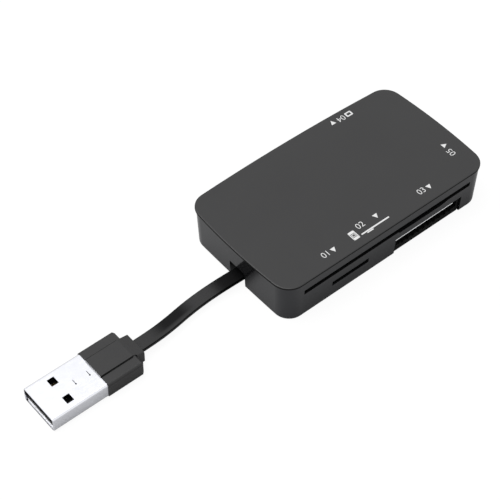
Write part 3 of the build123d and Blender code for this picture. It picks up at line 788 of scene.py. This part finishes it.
@dataclass
class FlatCable:
    """Short flat cable between the pocket of the case and the plug."""

    UV_NAME = "along"

    width: float = 3.7 * MM
    thickness: float = 1.36 * MM
    length: float = 38.4 * MM
    edge_round: float = 0.06 * MM
    lip_height: float = 0.1 * MM
    groove_depth: float = 0.5 * MM
    bead_radius: float = 0.18 * MM
    bead_drop: float = 0.24 * MM
    foot_height: float = 0.1 * MM
    foot_inset: float = 0.08 * MM
    bead_steps: int = 10
    smoothness: int = 24

    @property
    def route(self) -> list[Vector]:
        """The points of the route, from the strain relief to the neck of the plug."""
        points = [
            (-29.4, -0.72, 2.3),
            (-36.0, -0.5, 2.3),
            (-43.0, -0.35, 2.1),
            (-50.0, -0.7, 1.85),
            (-57.0, -2.0, 2.20),
            (-63.0, -2.77, 2.7),
            (-67.7, -2.77, 2.7),
        ]
        return [Vector(point) * MM for point in points]

    def _centreline(self) -> list[Vector]:
        """Return points along the smooth line that the route controls."""
        curve = bpy.data.curves.new("cable_line", "CURVE")
        curve.dimensions = "3D"
        curve.resolution_u = self.smoothness
        spline = curve.splines.new("NURBS")
        spline.points.add(len(self.route) - 1)
        for point, place in zip(spline.points, self.route):
            point.co = (*place, 1.0)
        spline.order_u = 3
        spline.use_endpoint_u = True
        line = bpy.data.objects.new("cable_line", curve)
        bpy.context.scene.collection.objects.link(line)
        bpy.context.view_layer.update()
        mesh = bpy.data.meshes.new_from_object(line)
        points = [vertex.co.copy() for vertex in mesh.vertices]
        bpy.data.objects.remove(line)
        bpy.data.meshes.remove(mesh)
        return points

    def _section(self) -> list[Pair]:
        """Return the outline of the jacket, across and up: a groove and a bead on each side."""
        side = self.width / 2
        top = self.thickness / 2
        lip = top - self.lip_height
        inner = side - self.groove_depth
        bead_x, bead_y = side - self.bead_radius, -self.bead_drop
        foot, foot_top = side - self.foot_inset, self.foot_height - top
        half = [(foot, -top), (foot, foot_top), (inner, foot_top), (inner, bead_y - self.bead_radius)]
        for step in range(self.bead_steps + 1):
            angle = math.radians(180 * step / self.bead_steps - 90)
            right, high = math.cos(angle), math.sin(angle)
            half.append((bead_x + self.bead_radius * right, bead_y + self.bead_radius * high))
        half += [(inner, bead_y + self.bead_radius), (inner, lip), (side, lip)]
        half += [(side, top - self.edge_round), (side - self.edge_round, top)]
        return half + [(-across, up) for across, up in reversed(half)]

    def _tube(self, line: list[Vector]) -> bpy.types.Mesh:
        """Return the jacket as a closed tube along a line, with its own UV map.

        Args:
            line: Points along the middle of the cable.

        Returns:
            The new mesh.
        """
        section = self._section()
        count = len(section)
        vertices = []
        for i, point in enumerate(line):
            ahead = line[min(i + 1, len(line) - 1)] - line[max(i - 1, 0)]
            across = Vector((-ahead.y, ahead.x, 0.0)).normalized()
            up = ahead.cross(across).normalized()
            vertices += [point + across * right + up * high for right, high in section]
        faces = [tuple(reversed(range(count)))]
        for i in range(len(line) - 1):
            here, there = i * count, (i + 1) * count
            for j in range(count):
                k = (j + 1) % count
                faces.append((here + j, here + k, there + k, there + j))
        faces.append(tuple(range((len(line) - 1) * count, len(line) * count)))
        mesh = bpy.data.meshes.new("flat_cable")
        mesh.from_pydata(vertices, [], faces)
        layer = mesh.uv_layers.new(name=self.UV_NAME)
        for loop in mesh.loops:
            ring, step = divmod(loop.vertex_index, count)
            share = ring / (len(line) - 1)
            layer.data[loop.index].uv = (share * self.length, section[step][0])
        return mesh

    def build(self, jacket: bpy.types.Material, plug_pieces: list[bpy.types.Object]) -> None:
        """Make the cable and say what is on it.

        Args:
            jacket: Material of the jacket.
            plug_pieces: The solids of the plug on its far end.
        """
        line = self._centreline()
        mesh = self._tube(line)
        mesh.materials.append(jacket)
        cable = bpy.data.objects.new("flat_cable", mesh)
        bpy.context.scene.collection.objects.link(cable)
        settle(cable, "flat_cable")
        bpy.ops.object.shade_smooth_by_angle(angle=SMOOTH_ANGLE)
        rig.replaces(cable, "cable")
        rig.slot(cable, "cable_jacket")
        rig.cord(
            cable,
            exit=self.route[0],
            length=self.length,
            diameter=self.width,
            far_end="plug",
            stiffness="medium",
            lay="loose",
            path=line,
            with_pieces=plug_pieces,
        )


@dataclass
class RolledHem:
    """Rolled front edge of the wide socket's sheet cover, seen as a bright line in the mouth."""

    left: float = 2.85 * MM
    right: float = 23.45 * MM
    front_edge: float = -19.044 * MM
    height: float = 5.09 * MM
    radius: float = 0.14 * MM
    end_round: float = 0.06 * MM
    end_steps: int = 3
    sides: int = 16
    sharp_angle: float = math.radians(60)

    def build(self, sheet: bpy.types.Material) -> None:
        """Make the hem.

        Args:
            sheet: Material of the sheet.
        """
        deselect_all()
        bpy.ops.mesh.primitive_cylinder_add(
            vertices=self.sides,
            radius=self.radius,
            depth=self.right - self.left,
            location=((self.left + self.right) / 2, self.front_edge, self.height),
            rotation=(0.0, math.radians(90), 0.0),
        )
        hem = bpy.context.object
        bpy.ops.object.mode_set(mode="EDIT")
        bpy.ops.mesh.select_all(action="DESELECT")
        bpy.ops.mesh.edges_select_sharp(sharpness=self.sharp_angle)
        bpy.ops.mesh.bevel(offset=self.end_round, segments=self.end_steps)
        bpy.ops.object.mode_set(mode="OBJECT")
        hem.data.materials.clear()
        hem.data.materials.append(sheet)
        settle(hem, "stick_card_hem")
        bpy.ops.object.shade_smooth_by_angle(angle=SMOOTH_ANGLE)
        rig.slot(hem, "plated_sheet")


class Pointing(Enum):
    """Which way a mark on the lid points, as a turn in degrees."""

    FRONT = 0.0
    BACK = 180.0
    RIGHT = 90.0


@dataclass(frozen=True)
class Plate:
    """A flat white field of a mark: its middle, its size, its round corners and its window."""

    middle: Pair
    size: Pair
    corner: float = 0.0
    window: Pair | None = None
    corner_steps: int = 4
    border_parts: int = 5

    def draw(self) -> None:
        """Add the plate to the mesh in edit mode."""
        centre = (self.middle[0] * MM, self.middle[1] * MM, 0.0)
        bpy.ops.mesh.select_all(action="DESELECT")
        bpy.ops.mesh.primitive_plane_add(size=1.0, location=centre)
        self._resize(centre, self.size[0] * MM, self.size[1] * MM)
        if self.corner > 0:
            bpy.ops.mesh.bevel(
                offset=self.corner * MM, segments=self.corner_steps, affect="VERTICES"
            )
            bpy.ops.mesh.select_linked()
        if self.window:
            border = min(self.size) / self.border_parts
            bpy.ops.mesh.inset(thickness=border * MM)
            across = self.window[0] / (self.size[0] - 2 * border)
            along = self.window[1] / (self.size[1] - 2 * border)
            self._resize(centre, across, along)
            bpy.ops.mesh.delete(type="FACE")

    @staticmethod
    def _resize(centre: Triple, across: float, along: float) -> None:
        """Resize what is selected about a centre."""
        bpy.ops.transform.resize(value=(across, along, 1.0), center_override=centre)


@dataclass
class SlotMark:
    """White print on the lid at one slot: a number, a small triangle and plain signs.

    The places of the number, the triangle and the plates are measured from the place of the
    mark, as read by someone who holds that slot towards them.
    """

    name: str
    number: str
    place: Pair
    pointing: Pointing
    number_place: Pair
    plates: tuple[Plate, ...] = ()
    digit_height: float = 1.75 * MM
    capital_share: float = 0.69
    stroke_thinning: float = 0.02 * MM
    triangle_width: float = 1.55 * MM
    triangle_height: float = 1.45 * MM
    film: float = 0.012 * MM

    def build(self, lid_top: float, ink: bpy.types.Material) -> None:
        """Print the mark.

        Args:
            lid_top: Height of the lid's upper face.
            ink: Material of the print.
        """
        number = self._number()
        sign = self._sign()
        deselect_all()
        number.select_set(True)
        sign.select_set(True)
        bpy.context.view_layer.objects.active = sign
        bpy.ops.object.join()
        sign.location = (self.place[0] * MM, self.place[1] * MM, lid_top)
        sign.rotation_euler = (0.0, 0.0, math.radians(self.pointing.value))
        sign.data.materials.clear()
        sign.data.materials.append(ink)
        settle(sign, f"{self.name}_mark")

    def _number(self) -> bpy.types.Object:
        """Return the number as a thin mesh."""
        deselect_all()
        bpy.ops.object.text_add()
        letters = bpy.context.object
        letters.data.body = self.number
        letters.data.align_x = "CENTER"
        letters.data.align_y = "CENTER"
        letters.data.size = self.digit_height / self.capital_share
        letters.data.offset = -self.stroke_thinning
        letters.data.extrude = self.film / 2
        bpy.ops.object.convert(target="MESH")
        piece = bpy.context.object
        across, along = self.number_place
        piece.location = (across * MM, along * MM, self.film / 2)
        bpy.ops.object.transform_apply(location=True)
        return piece

    def _sign(self) -> bpy.types.Object:
        """Return the triangle and the plates as one thin mesh."""
        deselect_all()
        bpy.ops.mesh.primitive_circle_add(vertices=3, radius=1.0, fill_type="NGON")
        piece = bpy.context.object
        bpy.ops.object.mode_set(mode="EDIT")
        bpy.ops.mesh.select_all(action="SELECT")
        # A three-sided circle of radius one is sqrt(3) wide and 1.5 high
        narrow = self.triangle_width / math.sqrt(3.0)
        low = -self.triangle_height / 1.5
        bpy.ops.transform.resize(value=(narrow, low, 1.0), center_override=(0.0, 0.0, 0.0))
        for plate in self.plates:
            plate.draw()
        bpy.ops.mesh.select_all(action="SELECT")
        bpy.ops.mesh.extrude_region_move(TRANSFORM_OT_translate={"value": (0.0, 0.0, self.film)})
        bpy.ops.object.mode_set(mode="OBJECT")
        return piece


@dataclass
class LidPrint:
    """All the marks on the lid."""

    lid_top: float

    def marks(self) -> list[SlotMark]:
        """Return the marks of the five slots."""
        chip_x, chip_y = -8.7, -1.45
        pitch_x, pitch_y = 0.42, 0.38
        chip_pads = [
            Plate((chip_x + pitch_x * column, chip_y + pitch_y * row), (0.3, 0.26))
            for column in (-1, 0, 1)
            for row in (-1, 0, 1)
            if (column, row) != (0, 0)
        ]
        chip_signs = (
            Plate((chip_x, chip_y), (1.95, 2.85), corner=0.3, window=(1.4, 1.3)),
            *chip_pads,
            Plate((-2.3, -2.45), (9.4, 0.42), corner=0.15),
            Plate((-4.4, -2.92), (2.1, 0.32), corner=0.1),
        )
        card_sign = (Plate((-5.6, 0.05), (2.1, 1.6), corner=0.25, window=(1.2, 0.8)),)
        return [
            SlotMark("micro_slot", "01", (-16.3, -15.85), Pointing.FRONT, (-2.5, -0.1)),
            SlotMark("chip_slot", "02", (-0.6, -14.3), Pointing.FRONT, (-5.2, 0.0), chip_signs),
            SlotMark("stick_slot", "03", (16.9, -15.6), Pointing.FRONT, (-2.6, -0.05)),
            SlotMark("full_slot", "04", (13.3, 16.9), Pointing.BACK, (-2.8, 0.05), card_sign),
            SlotMark("small_slot", "05", (30.3, -7.7), Pointing.RIGHT, (-2.9, 0.2)),
        ]

    def build(self, ink: bpy.types.Material) -> None:
        """Print all marks."""
        for mark in self.marks():
            mark.build(self.lid_top, ink)


@dataclass
class Reader:
    """The whole reader: its dressed solids, its cable, its hem and its marks."""

    nodes: dict[str, bpy.types.Object]

    def build(self) -> None:
        """Dress the solids and add what is made here."""
        finish = {choice: choice.value.material() for choice in Finish}
        for choice, names in self._groups().items():
            dress(self.nodes, names, finish[choice])
        plug = [self.nodes[name] for name in self.nodes if name.startswith("plug_")]
        FlatCable().build(finish[Finish.JACKET], plug)
        RolledHem().build(finish[Finish.SHEET])
        LidPrint(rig.box("top_cover")[1].z).build(finish[Finish.INK])

    def _groups(self) -> dict[Finish, list[str]]:
        """Return the names of the solids of each finish."""
        ends = {
            "_socket_body": Finish.INSULATOR,
            "_socket_shell": Finish.SHEET,
            "_socket_contacts": Finish.GILT,
        }
        groups: dict[Finish, list[str]] = {
            Finish.COVER: ["top_cover"],
            Finish.CASE: ["housing"],
            Finish.INSULATOR: ["chip_card_carrier"],
            Finish.TONGUE: ["plug_tongue"],
            Finish.GRIP: ["plug_overmold", "strain_relief"],
            Finish.RESIN: ["controller_chip"],
            Finish.CERAMIC: ["capacitors"],
            Finish.SLEEVE: ["cable_wires"],
            Finish.STEEL: ["plug_shell"],
            Finish.SHEET: ["crystal"],
            Finish.GILT: ["chip_card_contacts", "plug_contacts"],
            Finish.BOARD: ["main_board"],
        }
        for name in self.nodes:
            for end, choice in ends.items():
                if name.endswith(end):
                    groups[choice].append(name)
        return groups


def main() -> None:
    """Build the studio and the reader, and write down their boxes."""
    logging.basicConfig(level=logging.INFO, format="%(name)s: %(message)s")
    cad_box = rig.bounds()
    Studio().build()
    Reader(frame["nodes"]).build()
    boxes = {
        "cad": [list(corner) for corner in cad_box],
        "visual": [list(corner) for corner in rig.bounds()],
    }
    with open(SIZE_FILE, "w", encoding="utf-8") as file:
        json.dump(boxes, file)


if __name__ == "__main__":
    main()
